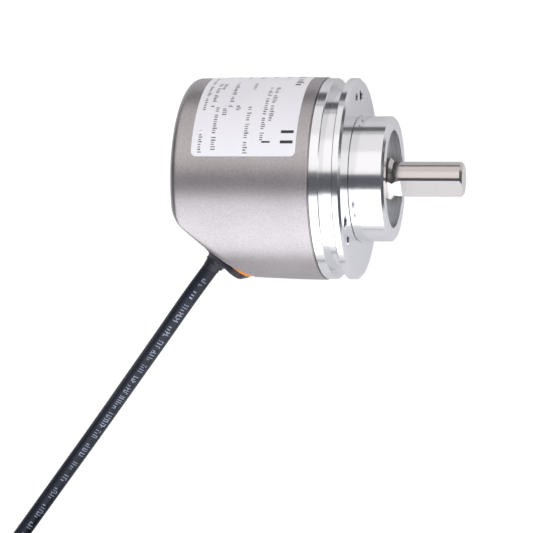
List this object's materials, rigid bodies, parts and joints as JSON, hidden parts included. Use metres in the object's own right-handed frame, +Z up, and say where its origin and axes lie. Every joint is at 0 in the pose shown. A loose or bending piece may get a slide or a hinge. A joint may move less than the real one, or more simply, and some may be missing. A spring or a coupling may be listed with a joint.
{
  "type": "rotary encoder",
  "caption": "Incremental rotary encoder with a clamping flange, a solid shaft with a flat, a drawn cover and an angled cable outlet with its coiled cable.",
  "frame": {"origin": "centre of the mounting flange front face, on the shaft axis", "axes": "+X along the shaft axis towards the shaft end, +Z up with the encoder lying on its side"},
  "size_m": [0.1685, 0.2181, 0.0589],
  "materials": {
    "turned_aluminium": "bright turned aluminium, fine concentric lay",
    "stainless_cover": "bead-blasted drawn stainless steel, satin",
    "black_rubber": "black nitrile rubber",
    "label_film": null,
    "black_moulding": "black moulded plastic, fine matte",
    "orange_silicone": "orange silicone gasket",
    "nickel_brass": "nickel-plated brass",
    "black_cable": "black polyurethane cable jacket, satin",
    "bearing_steel": "ground bearing steel",
    "ground_steel": "ground stainless shaft, bright",
    "dark_spring_steel": "phosphated spring steel",
    "brass": "machined brass",
    "board_laminate": "green solder resist over glass laminate",
    "ceramic": "ceramic capacitors",
    "ivory_plastic": "natural nylon connector",
    "gold_pins": "gold-plated pins",
    "lead_insulation": "coloured lead insulation",
    "clear_glass": "clear glass",
    "disc_steel": "etched nickel code disc",
    "tinned_copper": "tin-plated crimp ferrules"
  },
  "bodies": {
    "housing": {"board_capacitors": "ceramic", "board_chips": "black_moulding", "board_header": "ivory_plastic", "board_resistors": "black_moulding", "board_screws": "bearing_steel", "cable_coil": "black_cable", "cable_crimp_ring": "nickel_brass", "cable_entry": "black_cable", "cable_grommet": "black_moulding", "cable_tail": "black_cable", "cable_tube": "black_cable", "circuit_board": "board_laminate", "coil_ties": "black_moulding", "cover": "stainless_cover", "cover_seal": "black_rubber", "detector_chip": "black_moulding", "end_ferrules": "tinned_copper", "end_leads": "lead_insulation", "flange": "turned_aluminium", "front_bearing_outer_ring": "bearing_steel", "front_bearing_shields": "bearing_steel", "grommet_nut": "nickel_brass", "grommet_seal": "orange_silicone", "header_pins": "gold_pins", "inner_leads": "lead_insulation", "label": "label_film", "led_emitter": "bearing_steel", "led_holder": "black_moulding", "led_holder_screws": "bearing_steel", "led_lens": "clear_glass", "preload_wave_spring": "bearing_steel", "rear_bearing_outer_ring": "bearing_steel", "rear_bearing_shields": "bearing_steel", "reticle_plate": "clear_glass", "seal_case": "bearing_steel", "seal_garter_spring": "bearing_steel", "seal_lip": "black_rubber", "standoffs": "brass", "wire_plug": "ivory_plastic"},
    "rotor": {"shaft": "ground_steel", "front_bearing_inner_ring": "bearing_steel", "rear_bearing_inner_ring": "bearing_steel", "front_circlip": "dark_spring_steel", "rear_circlip": "dark_spring_steel", "disc_hub": "turned_aluminium", "hub_set_screw": "dark_spring_steel", "code_disc": "disc_steel", "disc_clamp_ring": "turned_aluminium"},
    "front_ball_set": {"front_balls": "bearing_steel", "front_ball_cage": "brass"},
    "rear_ball_set": {"rear_balls": "bearing_steel", "rear_ball_cage": "brass"}
  },
  "joints": [
    {"name": "shaft_spin", "type": "hinge", "parent": "housing", "child": "rotor", "pos_m": [0, 0, 0], "axis": [1, 0, 0], "continuous": true},
    {"name": "front_balls_roll", "type": "hinge", "parent": "housing", "child": "front_ball_set", "pos_m": [-0.0035, 0, 0], "axis": [1, 0, 0], "continuous": true},
    {"name": "rear_balls_roll", "type": "hinge", "parent": "housing", "child": "rear_ball_set", "pos_m": [-0.0145, 0, 0], "axis": [1, 0, 0], "continuous": true}
  ],
  "couplings": [
    {"joint": "front_balls_roll", "follows": "shaft_spin", "ratio": 0.381},
    {"joint": "rear_balls_roll", "follows": "shaft_spin", "ratio": 0.381}
  ]
}
